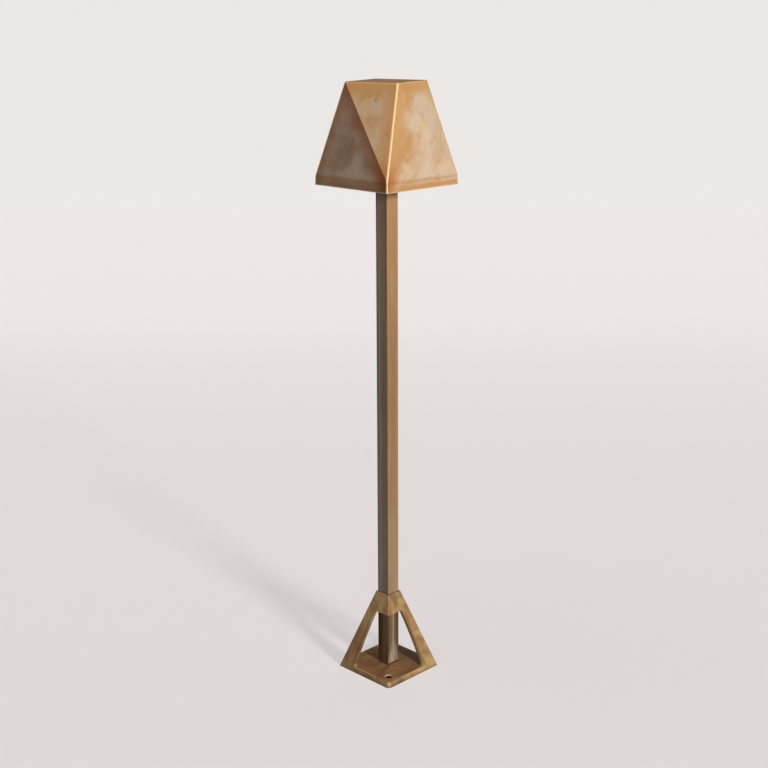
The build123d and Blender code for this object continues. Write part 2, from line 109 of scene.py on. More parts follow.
class Tree:
    def __init__(self, nodeTree):
        self.nodes, self.links = nodeTree.nodes, nodeTree.links

    def add(self, kind, **settings):
        node = self.nodes.new(kind)
        for key, value in settings.items():
            setattr(node, key, value)
        return node

    def feed(self, entry, value):
        # links a socket, or sets a number, a vector or a colour
        if isinstance(value, Socket):
            self.links.new(value.out, entry)
        else:
            entry.default_value = (*value, 1) if entry.type == "RGBA" else value

    def calc(self, kind, *values):
        node = self.add("ShaderNodeMath", operation=kind)
        for entry, value in zip(node.inputs, values):
            self.feed(entry, value)
        return Socket(self, node.outputs[0])

    def place(self, scale=(1, 1, 1)):
        # Object coordinates, times scale
        source = self.add("ShaderNodeTexCoord")
        node = self.add("ShaderNodeMapping")
        self.feed(node.inputs["Vector"], Socket(self, source.outputs["Object"]))
        self.feed(node.inputs["Scale"], scale)
        return Socket(self, node.outputs["Vector"])

    def slant(self, place, turn, rise, stretch):
        # place, stretched along a line at the azimuth turn that rises by rise, both in degrees
        t, r = math.radians(turn), math.radians(rise)
        line = (math.cos(t) * math.cos(r), math.sin(t) * math.cos(r), math.sin(r))
        side = (-math.sin(t), math.cos(t), 0)
        over = (-math.cos(t) * math.sin(r), -math.sin(t) * math.sin(r), math.cos(r))
        node = self.add("ShaderNodeCombineXYZ")
        for entry, value in zip(node.inputs, (place.dot(line) * stretch, place.dot(side), place.dot(over))):
            self.feed(entry, value)
        return Socket(self, node.outputs[0])

    def noise(self, place, scale, detail, rough=0.55, distortion=0.0):
        node = self.add("ShaderNodeTexNoise")
        numbers = {"Scale": scale, "Detail": detail, "Roughness": rough, "Distortion": distortion}
        for key, value in {"Vector": place, **numbers}.items():
            self.feed(node.inputs[key], value)
        return Socket(self, node.outputs["Fac"])

    def ramp(self, share, stops):
        node = self.add("ShaderNodeValToRGB")
        band = node.color_ramp
        while len(band.elements) < len(stops):
            band.elements.new(0.5)
        for element, (position, colour) in zip(band.elements, stops):
            element.position = position
            element.color = (*colour, 1)
        self.feed(node.inputs["Fac"], share)
        return Socket(self, node.outputs["Color"])

    def mix(self, share, first, second, kind="MIX"):
        node = self.add("ShaderNodeMix", data_type="RGBA", blend_type=kind)
        factor, *colours = (entry for entry in node.inputs if entry.enabled)
        self.feed(factor, share)
        for entry, value in zip(colours, (first, second)):
            self.feed(entry, value)
        return Socket(self, next(out for out in node.outputs if out.enabled))

    def tinted(self, share, first, colour):
        # first, multiplied by colour as far as share goes
        return self.mix(share, first, self.mix(1.0, first, colour, "MULTIPLY"))

    def rays(self, *kinds):
        node = self.add("ShaderNodeLightPath")
        return [Socket(self, node.outputs["Is " + kind + " Ray"]) for kind in kinds]

    def seenRays(self):
        return largest(*self.rays("Camera", "Glossy", "Transmission"))

    def mixShader(self, share, first, second):
        node = self.add("ShaderNodeMixShader")
        for entry, value in zip(node.inputs, (share, first, second)):
            self.feed(entry, value)
        return Socket(self, node.outputs[0])


class Finish(Tree):
    # one material; base is its colour, laid on layer by layer
    def __init__(self, name):
        self.material = bpy.data.materials.new(name)
        self.material.use_nodes = True
        super().__init__(self.material.node_tree)
        self.shader = self.nodes["Principled BSDF"]
        self.base = None

    def give(self, **values):
        # roughness=..., baseColor=... and so on
        keys = {"baseColor": "Base Color", "specular": "Specular IOR Level", "coat": "Coat Weight",
                "transmission": "Transmission Weight", "ior": "IOR"}
        for name, value in values.items():
            self.feed(self.shader.inputs[keys.get(name, name.capitalize())], value)

    def blend(self, share, colour):
        self.base = self.mix(share, self.base, colour)

    def tint(self, share, colour):
        self.base = self.tinted(share, self.base, colour)

    def bump(self, height, strength, distance):
        node = self.add("ShaderNodeBump")
        for key, value in {"Height": height, "Strength": strength, "Distance": distance}.items():
            self.feed(node.inputs[key], value)
        self.give(normal=Socket(self, node.outputs["Normal"]))


def largest(first, *others):
    for other in others:
        first = first.tree.calc("MAXIMUM", first, other)
    return first


def smallest(first, *others):
    for other in others:
        first = first.tree.calc("MINIMUM", first, other)
    return first


def level(turn):
    # the level direction at an azimuth in degrees, 0 along +X
    t = math.radians(turn)
    return (math.cos(t), math.sin(t), 0)


def tone(*colour):
    # red, green and blue as seen on the screen, 0 to 255, as the shader's linear colour
    return tuple(((v / 255 + 0.055) / 1.055) ** 2.4 if v > 10 else v / 255 / 12.92 for v in colour)


def weighed(parts, first, second):
    return first * parts[0] + second * parts[1]


toRight, toBack = (1, 0, 0), (0, 1, 0)
noiseSpan, noiseMiddle = (0.3, 0.7), 0.5         # most of what a noise gives, and its middle


# hood brass: eight facets, with wear, painted shade and painted highlights that follow their folds

hoodValues = {
    # heights, the skirt's half side, each facet's distance from the axis at the fold height and inward lean
    "hem": 0.624, "fold": 0.6348, "top": 0.743,
    "skirt": 0.0592,
    "lower": (0.0590, 0.15194), "upper": (0.07226, 0.34667),
    "foldSines": (0.31, 0.956),                  # of a soft and a sharp fold's angle
    # noises: scale, detail, roughness, distortion; and the lines they follow: azimuth, rise, stretch
    "broad": (15, 2, 0.5, 0.15),
    "cloud": (34, 3, 0.45, 0.3),
    "strokes": (62, 4, 0.6, 0.5), "strokeLine": (45, 42, 0.45),
    "scuffs": (210, 3, 0.6, 0.8), "scuffLine": (45, 62, 0.3),
    "fine": (620, 5, 0.6),
    # weights of two noises that are added up
    "patchParts": (0.72, 0.28), "tanParts": (0.6, 0.4),
    "oliveParts": (0.75, 0.25), "reliefParts": (0.7, 0.06),
    # colours
    "tan": ((0.30, tone(184, 136, 84)), (0.50, tone(190, 147, 97)), (0.70, tone(196, 158, 114))),
    "olive": ((0.36, tone(133, 103, 79)), (0.50, tone(152, 124, 101)), (0.62, tone(172, 146, 126))),
    "pale": tone(204, 183, 159),
    "brown": tone(186, 143, 94),
    "edge": tone(200, 144, 88),
    "red": tone(138, 84, 47),
    "oliveGrey": tone(192, 172, 154),
    "lid": tone(163, 129, 99),
    "speck": tone(232, 202, 160),
    # the glint colour is a painted highlight on the folds, laid over their wear
    "wearAndGlint": tone(255, 226, 176),
    "scuffTone": tone(196, 180, 160),
    "footTone": tone(224, 186, 140),
    "footShade": tone(255, 246, 208),
    "hemTone": tone(224, 214, 204),
    # how much of each layer shows
    "shares": {"pale": 0.62, "brown": 0.34, "edge": 0.56, "faintEdge": 0.35, "oliveGrey": 0.28, "red": 0.9,
               "hem": 0.8, "skirt": 0.22, "speck": 0.15, "scuff": 0.5, "lid": 0.8, "wearAndGlint": 0.92,
               "hemGlint": 0.3, "topGlint": 0.4},
    # where each layer starts and is full, in metres or levels of a noise; then how full, if not 0 to 1
    "spans": {
        "belowFold": (0.0004, -0.0004),
        "onFacet": (-0.0006, -0.0003), "onShaded": (-0.00022, -0.00012), "onSkirt": (0.0570, 0.0585),
        "away": (-0.004, -0.020), "pale": (0.38, 0.64), "brown": (0.50, 0.32),
        "fromFront": (-0.018, -0.042, 0.0, 0.78), "stroked": (0.34, 0.58, 0.45, 1.0),
        "belowTop": (-0.006, -0.022),
        "edge": (-0.030, -0.011), "faintEdge": (-0.014, -0.006),
        "oliveGrey": (0.38, 0.56, 0.25, 1.0),
        "redSoft": (-0.036, -0.008), "redSharp": (-0.024, -0.004, 0.0, 0.5),
        "redTop": (0.716, 0.746, 0.0, 0.7),
        "hem": (0.642, 0.630), "foot": (0.668, 0.632), "footSide": (-0.036, -0.010),
        "crease": (-0.0050, -0.0022), "creased": (0.36, 0.58, 0.05, 0.45),
        "speck": (0.60, 0.72), "scuff": (0.60, 0.70), "scuffed": (0.42, 0.56),
        "lid": (-0.0004, -0.0001), "topWearAndGlint": (-0.0016, -0.0005), "hemWearAndGlint": (-0.0013, -0.0004),
        "wearAndGlint": (-0.0017, -0.0008), "glintBack": (-0.012, -0.004, 1.0, 0.45),
    },
    # how far a noise moves a layer's border, in metres
    "frays": {"away": 0.05, "fromFront": 0.06, "edge": 0.026, "faintEdge": 0.014, "redSoft": 0.020,
              "redSharp": 0.012, "redTop": 0.02, "foot": 0.02, "crease": 0.004,
              "wearAndGlint": 0.0004, "hemWearAndGlint": 0.0006},
    "hemNarrowing": 3, "sideNarrowing": 1.4,     # times narrower that a layer is at the hem or a side fold
    "metal": 0.05,
    "specular": 0.2,
    "rough": (0.50, 0.62), "lidRough": 0.3, "glintShine": 0.20,
    "relief": (0.25, 0.0010),
}


def measureHood(place, values):
    # distances in metres, 0 on a facet, fold or edge and negative inside it
    height = place.part("Z")
    facets = []
    for k in range(4):
        for turn, (out, lean) in ((45 + 90 * k, values["lower"]), (60 + 90 * k, values["upper"])):
            reach = place.dot((*level(turn)[:2], lean))
            facets.append(reach - (out + lean * values["fold"]))
    # at a fold: the lesser of the two facets' distances, over the sine of the angle between them
    folds = []
    for k, facet in enumerate(facets):
        pair = smallest(facet, facets[(k + 1) % len(facets)])
        folds.append(pair * (1 / values["foldSines"][k % 2]))
    belowFold = height.fade(values["spans"]["belowFold"], at=values["fold"])
    across, along = abs(place.dot(level(45))), abs(place.dot(level(135)))
    skirtCorner = smallest(across, along) - values["skirt"] - (1.0 - belowFold)
    return height, facets, folds, belowFold, skirtCorner


def makeHoodBrass(values):
    finish = Finish("hoodBrass")
    share, span, fray = values["shares"], values["spans"], values["frays"]
    place = finish.place()
    height, facets, folds, belowFold, skirtCorner = measureHood(place, values)
    sharp = largest(*folds[1::2], skirtCorner)
    soft = largest(*folds[0::2])
    back, left, front, right = folds[1::2]
    crease = abs(height - values["fold"]) * -1
    topEdge, hem = height - values["top"], values["hem"] - height
    near = largest(sharp, topEdge, hem * values["hemNarrowing"])
    broad = finish.noise(place, *values["broad"])
    cloud = finish.noise(place, *values["cloud"])
    strokes = finish.noise(finish.slant(place, *values["strokeLine"]), *values["strokes"])
    fine = finish.noise(place, *values["fine"])
    patch = weighed(values["patchParts"], cloud, strokes)
    finish.base = finish.ramp(weighed(values["tanParts"], broad, patch), values["tan"])

    # pale patches away from the edges, most of all on the front right and back left
    away = (near + (cloud - noiseMiddle) * fray["away"]).fade(span["away"])
    finish.blend(patch.fade(span["pale"]) * away * share["pale"], values["pale"])
    finish.blend(patch.fade(span["brown"]) * share["brown"], values["brown"])
    palest = largest(*(facets[k].fade(span["onFacet"]) for k in (2, 3, 6, 7)))
    fromFront = (front - (patch - noiseMiddle) * fray["fromFront"]).fade(span["fromFront"])
    lighter = palest * fromFront * strokes.fade(span["stroked"])
    finish.blend(lighter * height.fade(span["belowTop"], at=values["top"]), values["pale"])

    # browner beside the front and back folds and the top, faintly so at every edge
    edge = (largest(front, back, topEdge) - patch * fray["edge"]).fade(span["edge"])
    faintEdge = (near - patch * fray["faintEdge"]).fade(span["faintEdge"])
    finish.blend(largest(edge, faintEdge * share["faintEdge"]) * share["edge"], values["edge"])

    # the lower facets at the back left and front left, turned from the key light, are painted darker olive
    # down over the skirt: patina, and painted shade
    shaded = []
    for k, turn in ((2, 135), (4, 225)):
        skirt = belowFold * place.dot(level(turn)).fade(span["onSkirt"])
        shaded.append(largest(facets[k].fade(span["onShaded"]), skirt))
    shaded = largest(*shaded)
    finish.blend(shaded, finish.ramp(weighed(values["oliveParts"], patch, broad), values["olive"]))
    greyer = away * cloud.fade(span["oliveGrey"])
    finish.blend(greyer * (shaded * share["oliveGrey"]), values["oliveGrey"])

    # these two are redder beside their folds and towards the top, and darkened towards the hem as painted
    # shade
    redSoft = (soft - patch * fray["redSoft"]).fade(span["redSoft"])
    redSharp = (sharp - patch * fray["redSharp"]).fade(span["redSharp"])
    redTop = (height + patch * fray["redTop"]).fade(span["redTop"])
    finish.blend(largest(redSoft, redSharp, redTop) * shaded * share["red"], values["red"])
    finish.tint(height.fade(span["hem"]) * shaded * share["hem"], values["hemTone"])

    # the front fold's foot and the skirt are browner, with a brown line where the skirt begins
    foot = height.fade(span["foot"]) * (front - patch * fray["foot"]).fade(span["footSide"])
    foot = largest(foot, belowFold * share["skirt"])
    finish.tint(foot, values["footTone"])
    finish.tint(foot * shaded, values["footShade"])
    creased = (crease - strokes * fray["crease"]).fade(span["crease"])
    finish.tint(creased * cloud.fade(span["creased"]), values["footTone"])

    # pale specks, short dark scuffs on the flats, and the lid
    finish.blend(fine.fade(span["speck"]) * share["speck"], values["speck"])
    scuffs = finish.noise(finish.slant(place, *values["scuffLine"]), *values["scuffs"])
    scuffs = scuffs.fade(span["scuff"]) * away * broad.fade(span["scuffed"])
    finish.tint(scuffs * share["scuff"], values["scuffTone"])
    lid = height.fade(span["lid"], at=values["top"])
    finish.blend(lid * share["lid"], values["lid"])

    # bare metal with a painted highlight on the folds, faint on the hem and the top's edge, brightest in
    # front, where the light catches them
    sides = (left * values["sideNarrowing"], right * values["sideNarrowing"])
    ridge = largest(front, back, *sides, skirtCorner) + fine * fray["wearAndGlint"]
    hemWearAndGlint = (hem + fine * fray["hemWearAndGlint"]).fade(span["hemWearAndGlint"])
    topWearAndGlint = topEdge.fade(span["topWearAndGlint"]) * share["topGlint"] * (1.0 - lid)
    wearAndGlint = largest(ridge.fade(span["wearAndGlint"]), hemWearAndGlint * share["hemGlint"], topWearAndGlint)
    wearAndGlint = wearAndGlint * place.dot(toBack).fade(span["glintBack"])
    finish.blend(wearAndGlint * share["wearAndGlint"], values["wearAndGlint"])

    rough = cloud.line(noiseSpan, values["rough"]) + lid * values["lidRough"]
    finish.give(baseColor=finish.base, metallic=values["metal"], specular=values["specular"],
                roughness=rough - wearAndGlint * values["glintShine"])
    finish.bump(weighed(values["reliefParts"], broad, fine), *values["relief"])
    return finish.material


# cast brass of the foot: browner on the flats, pale on the edges as wear and painted highlight, with painted
# shade on the plate and on faces turned from the light

castValues = {
    "plateTop": 0.00635,
    "holeReach": 0.0423,                         # screw holes, from the axis
    "foot": (0.045, 0.105, 0.01125),             # half side at the ground, height, half side on top
    "window": (0.0204, 0.0051, 0.082, 0.0013),   # a strut's inner edge at foot and head, head's height, bow
    "darkStrip": 0.0034,                            # dark line on a strut's face, from its inner edge
    # where the plate's painted shade lies, towards the back right
    "shadedBackTo": (0.6, 0.8, 0),                     # direction in which the plate gets duller
    # noises: scale, detail, roughness, distortion
    "cloud": (60, 5, 0.6, 0.4),
    "broad": (26, 3, 0.5),
    "fine": (900, 4, 0.6),
    "brush": (120, 5, 0.65, 0.8), "brushLine": (24, 0, 0.3),
    "smears": (104, 2, 0.5, 0.2), "smearStretch": (1, 1, 0.34),
    "plateParts": (0.6, 0.4), "reliefParts": (0.6, 0.25),
    # colours
    "tan": ((0.34, tone(134, 95, 60)), (0.50, tone(154, 120, 81)), (0.64, tone(172, 143, 102))),
    "plate": ((0.34, tone(122, 82, 51)), (0.50, tone(152, 110, 73)), (0.66, tone(172, 136, 98))),
    "olive": tone(146, 132, 78),
    "collar": tone(118, 84, 50),
    "darkening": tone(84, 60, 38),
    "cutSide": tone(182, 152, 108),
    "back": tone(154, 126, 106),
    "corner": tone(204, 160, 108),
    "rim": tone(206, 168, 118),
    "ground": tone(88, 60, 40),
    "collarTop": tone(206, 172, 122),
    "sink": tone(206, 172, 124),
    "hole": tone(70, 48, 30),
    "speck": tone(214, 180, 128),
    "sideTone": tone(194, 184, 176),
    "cutTone": tone(186, 174, 162),
    "rightShadowTone": tone(222, 212, 200),
    # how much of each layer shows
    "shares": {"olive": 0.35, "darkStrip": 0.55, "cut": 0.12, "corner": 0.22, "rim": 0.4, "ground": 0.6,
               "collarTop": 0.6, "sink": 0.45, "hole": 0.96, "speck": 0.22},
    # where each layer starts and is full, in metres or levels of a noise; then how full, if not 0 to 1
    "spans": {
        "olive": (0.56, 0.66), "speck": (0.58, 0.74),
        "onFace": (-0.0012, -0.0003), "onStrut": (0.0, 0.004), "strutHead": (-0.001, -0.010),
        "darkStrip": (0.0030, 0.0008), "darkStripPatches": (0.24, 0.50),
        "cut": (-0.0004, -0.0012), "cutLeft": (0.0, -0.004),
        "plateSide": (-0.0012, -0.0026), "plateHeight": (0.0022, 0.0004),
        "plateRight": (0.004, 0.026), "back": (0.006, 0.034, 0.0, 0.42),
        "corner": (-0.0012, -0.0001), "cornerHead": (0.004, -0.004),
        "rimSide": (-0.0026, -0.0010), "rimFoot": (0.0046, 0.0056), "rimHead": (0.0016, 0.0002),
        "rimInside": (0.0006, -0.0010), "ground": (0.0034, 0.0004),
        "collarTop": (-0.0009, -0.0002), "collarFoot": (-0.008, 0.004),
        "smears": (0.40, 0.60, 0.08, 0.80), "smearsRight": (-0.003, 0.001, 0.5, 1.0),
        "palerHeight": (0.052, 0.072), "palerLeft": (0.001, -0.003), "paler": (0.40, 0.60, 0.0, 0.26),
        "sinkReach": (0.0056, 0.0050), "sinkDepth": (-0.00005, -0.0002),
        "holeReach": (0.0044, 0.0037), "holeDepth": (-0.0006, -0.0014),
        "browner": (0.34, 0.52, 0.2, 0.75), "brownerSide": (0.006, 0.014), "brownerHeight": (0.080, 0.040),
    },
    # how far a noise moves a layer's border, in metres
    "frays": {"back": 0.02, "corner": 0.0006},
    "metal": 0.05,
    "specular": 0.25, "plateSpecular": -0.15,    # plateSpecular and plateRough are added on the plate's top
    "rough": (0.40, 0.56), "plateRough": 0.14,
    "relief": (0.3, 0.0005),
}


def paintHole(finish, place, z, reach, values):
    # a pale countersink round a screw hole at reach, bare metal and painted highlight, and painted shade
    # darkening down in it
    share, span, plateTop = values["shares"], values["spans"], values["plateTop"]
    levelPlace = finish.add("ShaderNodeVectorMath", operation="MULTIPLY")
    finish.feed(levelPlace.inputs[0], place)
    finish.feed(levelPlace.inputs[1], (1, 1, 0))
    distance = finish.add("ShaderNodeVectorMath", operation="DISTANCE")
    finish.feed(distance.inputs[0], Socket(finish, levelPlace.outputs[0]))
    finish.feed(distance.inputs[1], (0, reach, 0))
    ring = Socket(finish, distance.outputs["Value"])
    sink = ring.fade(span["sinkReach"]) * z.fade(span["sinkDepth"], at=plateTop)
    finish.blend(sink * share["sink"], values["sink"])
    darkening = ring.fade(span["holeReach"]) * z.fade(span["holeDepth"], at=plateTop)
    finish.blend(darkening * share["hole"], values["hole"])


def makeCastBrass(values):
    finish = Finish("castBrass")
    share, span, fray = values["shares"], values["spans"], values["frays"]
    plateTop = values["plateTop"]
    place = finish.place()
    z, x = place.part("Z"), place.dot(toRight)
    cloud = finish.noise(place, *values["cloud"])
    broad = finish.noise(place, *values["broad"])
    fine = finish.noise(place, *values["fine"])
    finish.base = finish.ramp(cloud, values["tan"])
    finish.blend(broad.fade(span["olive"]) * share["olive"], values["olive"])

    # distances from the axis to the pyramid's faces and corner lines, with the lean of its sides added back
    side, height, head = values["foot"]
    lean = z * ((side - head) / height)
    across, along = abs(place.dot(level(45))) + lean, abs(place.dot(level(135))) + lean
    corner, skin = smallest(across, along), largest(across, along)
    onFace = skin.fade(span["onFace"], at=side)

    # a strut's inner edge runs nearly straight from foot to head: a dark strip beside it, pale on its cut
    # side
    footEdge, headEdge, headHeight, bow = values["window"]
    rise = z.line((plateTop, headHeight), (0, 1))
    edge = rise * (headEdge - footEdge) + footEdge + rise * (1.0 - rise) * (-4 * bow)
    inner = corner - lean - edge
    onStrut = z.fade(span["onStrut"], at=plateTop) * z.fade(span["strutHead"], at=headHeight)
    darkStrip = abs(inner - values["darkStrip"]).fade(span["darkStrip"]) * onFace
    darkStrip = darkStrip * cloud.fade(span["darkStripPatches"]) * onStrut
    finish.blend(darkStrip * share["darkStrip"], values["darkening"])
    cut = skin.fade(span["cut"], at=side) * onStrut
    finish.blend(cut * share["cut"], values["cutSide"])
    # the left struts' cut sides, which face the key light, are darkened as painted shade
    finish.tint(cut * x.fade(span["cutLeft"]), values["cutTone"])

    # the plate's top is brushed; painted shadow darkens it to the right and painted shade makes it greyer
    # towards the back right, where the struts' shadows fall
    brush = finish.noise(finish.slant(place, *values["brushLine"]), *values["brush"])
    flat = finish.ramp(weighed(values["plateParts"], cloud, brush), values["plate"])
    flat = finish.tinted(x.fade(span["plateRight"]), flat, values["rightShadowTone"])
    shadedBack = place.dot(values["shadedBackTo"]) + cloud * fray["back"]
    flat = finish.mix(shadedBack.fade(span["back"]), flat, values["back"])
    low = z.fade(span["plateHeight"], at=plateTop) * skin.fade(span["plateSide"], at=side)
    finish.blend(low, flat)

    # pale along the pyramid's corner lines and the plate's upper edge, wear and painted highlight; darker at
    # the ground as painted shade
    cornerWearAndGlint = (corner + fine * fray["corner"]).fade(span["corner"], at=side)
    cornerWearAndGlint = cornerWearAndGlint * z.fade(span["cornerHead"], at=headHeight)
    finish.blend(cornerWearAndGlint * share["corner"], values["corner"])
    rim = skin.fade(span["rimSide"], at=side) * z.fade(span["rimFoot"])
    rim = rim * z.fade(span["rimHead"], at=plateTop) * inner.fade(span["rimInside"])
    finish.blend(rim * share["rim"], values["rim"])
    # painted shade where the plate meets the ground
    finish.blend(z.fade(span["ground"]) * share["ground"], values["ground"])

    # the collar: a pale top rim as painted highlight, upright brown smears, and paler patches on the left
    # faces as painted light lifting their shade
    finish.blend(z.fade(span["collarTop"], at=height) * share["collarTop"], values["collarTop"])
    smears = finish.noise(finish.place(values["smearStretch"]), *values["smears"])
    smears = smears.fade(span["smears"]) * z.fade(span["collarFoot"], at=headHeight)
    finish.blend(smears * x.fade(span["smearsRight"]), values["collar"])
    # painted light on the left faces, lifting their shade
    paler = z.fade(span["palerHeight"]) * x.fade(span["palerLeft"])
    finish.blend(paler * cloud.fade(span["paler"]), values["cutSide"])

    for reach in (-values["holeReach"], values["holeReach"]):
        paintHole(finish, place, z, reach, values)

    # pale specks; the front left faces are darker and browner below the collar, painted shade
    finish.blend(fine.fade(span["speck"]) * share["speck"], values["speck"])
    browner = place.dot(level(225)).fade(span["brownerSide"]) * onFace * z.fade(span["brownerHeight"])
    finish.tint(browner * broad.fade(span["browner"]), values["sideTone"])

    finish.give(baseColor=finish.base, metallic=values["metal"],
                roughness=cloud.line(noiseSpan, values["rough"]) + low * values["plateRough"],
                specular=low * values["plateSpecular"] + values["specular"])
    finish.bump(weighed(values["reliefParts"], cloud, fine), *values["relief"])
    return finish.material


# drawn brass of the post: long streaks, darker and shinier below the collar

tubeValues = {
    "collarFoot": 0.084,
    "halfSide": 0.009525,
    "coolPlace": 0.0034,                         # the left face's cool streak, from its middle
    # noises: scale, detail, roughness, distortion; and the stretch of each along the post
    "streaks": (420, 4, 0.6), "streakStretch": (1, 1, 0.018),
    "cloud": (34, 4, 0.6, 0.3), "cloudStretch": (1, 1, 0.35),
    "wave": (62, 2, 0.5), "waveStretch": (1, 1, 0.10),
    "lines": (520, 3, 0.6), "lineStretch": (1, 1, 0.05),
    # colours above the collar
    "tan": ((0.32, tone(131, 100, 68)), (0.52, tone(143, 113, 81)), (0.70, tone(153, 126, 97))),
    "streak": tone(130, 94, 62),
    "lower": tone(150, 132, 110),
    "upper": tone(178, 138, 94),
    "warm": tone(184, 132, 80),
    "shadeTone": tone(212, 224, 246),
    "cool": tone(144, 142, 131),
    "frontBrown": tone(112, 78, 54),
    "outerEdge": tone(98, 84, 70),
    "farEdge": tone(174, 118, 66),
    "seam": tone(60, 42, 28),
    # colours below it
    "dark": ((0.35, tone(90, 66, 46)), (0.65, tone(120, 94, 67))),
    "darkNearEdges": tone(62, 46, 32),
    "middleReflection": tone(166, 152, 122),
    "flare": tone(186, 172, 158),
    # how much of each layer shows
    "shares": {"streak": 0.55, "lower": 0.4, "upper": 0.75, "warm": 0.12, "cool": 0.34, "frontBrown": 0.55,
               "outerEdge": 0.40, "farEdge": 0.5, "seam": 0.75, "darkNearEdges": 0.5, "middleReflection": 0.7, "flare": 0.8},
    # where each layer starts and is full, in metres or levels of a noise; then how full, if not 0 to 1
    "spans": {
        "streak": (0.44, 0.62), "lower": (0.36, 0.20), "upper": (0.44, 0.68), "warm": (-0.0048, -0.0012),
        "onLeft": (-0.0008, -0.0002), "onRight": (-0.0010, -0.0003),
        "cool": (0.0042, 0.0008), "frontBrown": (-0.0025, -0.0085), "outerEdge": (0.0055, 0.0090),
        "farEdge": (0.0020, 0.0080), "seamTop": (0.1064, 0.1054), "seamFoot": (0.100, 0.103),
        "belowCollar": (0.006, 0.002), "darkNearEdges": (0.0046, 0.0090), "middleReflection": (0.0022, 0.0004),
        "flare": (0.048, 0.018), "flareLines": (0.40, 0.58, 0.15, 1.0),
    },
    # how far a noise moves a layer's border, in metres
    "frays": {"rise": 0.12, "drift": 0.006, "middle": 0.006},
    "flareSlope": 2.2,                           # height that the flare loses away from the face's middle
    "metal": (0.04, 0.22),                       # above and below the collar's foot, as reliefSpan
    "specular": 0.25,
    "rough": (0.34, 0.5), "lowShine": 0.14,
    "relief": (0.2, 0.0003), "reliefSpan": (1, 0.1),
}


def makeTubeBrass(values):
    finish = Finish("tubeBrass")
    share, span, fray, half = values["shares"], values["spans"], values["frays"], values["halfSide"]
    place = finish.place()
    z = place.part("Z")
    streaks = finish.noise(finish.place(values["streakStretch"]), *values["streaks"])
    cloud = finish.noise(finish.place(values["cloudStretch"]), *values["cloud"])
    wave = finish.noise(finish.place(values["waveStretch"]), *values["wave"])
    lines = finish.noise(finish.place(values["lineStretch"]), *values["lines"])
    across, along = place.dot(level(45)), place.dot(level(135))
    corner = smallest(abs(across), abs(along))

    # streaks, greyer low down and warmer high up
    finish.base = finish.ramp(cloud, values["tan"])
    finish.blend(streaks.fade(span["streak"]) * share["streak"], values["streak"])
    rise = z + cloud * fray["rise"]
    finish.blend(rise.fade(span["lower"]) * share["lower"], values["lower"])
    finish.blend(rise.fade(span["upper"]) * share["upper"], values["upper"])
    finish.blend(corner.fade(span["warm"], at=half) * share["warm"], values["warm"])

    # left face: tinted darker and cooler as painted shade, with painted reflections: a cool streak beside
    # the middle, brown towards the front edge, dark at the outer one
    onLeft = place.dot(level(225)).fade(span["onLeft"], at=half)
    drift = (cloud - noiseMiddle) * fray["drift"]
    leftward = along + drift
    finish.tint(onLeft, values["shadeTone"])
    cool = abs(leftward - values["coolPlace"]).fade(span["cool"])
    finish.blend(cool * share["cool"] * onLeft, values["cool"])
    for layer in ("frontBrown", "outerEdge"):
        finish.blend(leftward.fade(span[layer]) * share[layer] * onLeft, values[layer])

    # right face: warmer at its far edge, a painted reflection
    onRight = place.dot(level(315)).fade(span["onRight"], at=half)
    rightward = across + drift
    finish.blend(rightward.fade(span["farEdge"]) * share["farEdge"] * onRight, values["farEdge"])

    # below the collar: dark waves, with painted reflections: darker near the edges, bright down the middle
    # of the right face and at its foot
    dark = finish.ramp(wave, values["dark"])
    dark = finish.mix(corner.fade(span["darkNearEdges"]) * share["darkNearEdges"], dark, values["darkNearEdges"])
    middle = abs(across + (wave - noiseMiddle) * fray["middle"])
    dark = finish.mix(middle.fade(span["middleReflection"]) * onRight * share["middleReflection"], dark, values["middleReflection"])
    flare = (z + middle * values["flareSlope"]).fade(span["flare"])
    flare = flare * onRight * lines.fade(span["flareLines"])
    dark = finish.mix(flare * share["flare"], dark, values["flare"])
    low = z.fade(span["belowCollar"], at=values["collarFoot"])
    finish.blend(low, dark)

    # dark seam where the post leaves the collar
    seam = z.fade(span["seamTop"]) * z.fade(span["seamFoot"])
    finish.blend(seam * share["seam"], values["seam"])

    rough = finish.mix(low, streaks, wave).line(noiseSpan, values["rough"])
    finish.give(baseColor=finish.base, metallic=low.line((0, 1), values["metal"]),
                specular=values["specular"], roughness=rough - low * values["lowShine"])
    finish.bump(streaks * low.line((0, 1), values["reliefSpan"]), *values["relief"])
    return finish.material


# turned brass: fine level rings, from a noise that is stretched sideways

turnedValues = {
    "tones": ((0.35, tone(168, 128, 72)), (0.65, tone(198, 158, 96))),
    "cloud": (90, 4),
    "rings": (2600, 2, 0.5), "ringStretch": (0.2, 0.2, 1),
    "metal": 0.85,
    "rough": (0.24, 0.4),
    "relief": (0.12, 0.0001),
}


def makeTurnedBrass(values):
    finish = Finish("turnedBrass")
    cloud = finish.noise(finish.place(), *values["cloud"])
    rings = finish.noise(finish.place(values["ringStretch"]), *values["rings"])
    finish.give(baseColor=finish.ramp(cloud, values["tones"]), metallic=values["metal"],
                roughness=cloud.line(noiseSpan, values["rough"]))
    finish.bump(rings, *values["relief"])
    return finish.material


# the plain finishes, by material slot: name, darker and lighter tone, metal, roughness, coat,
# scale of the clouds, scale and depth of the relief

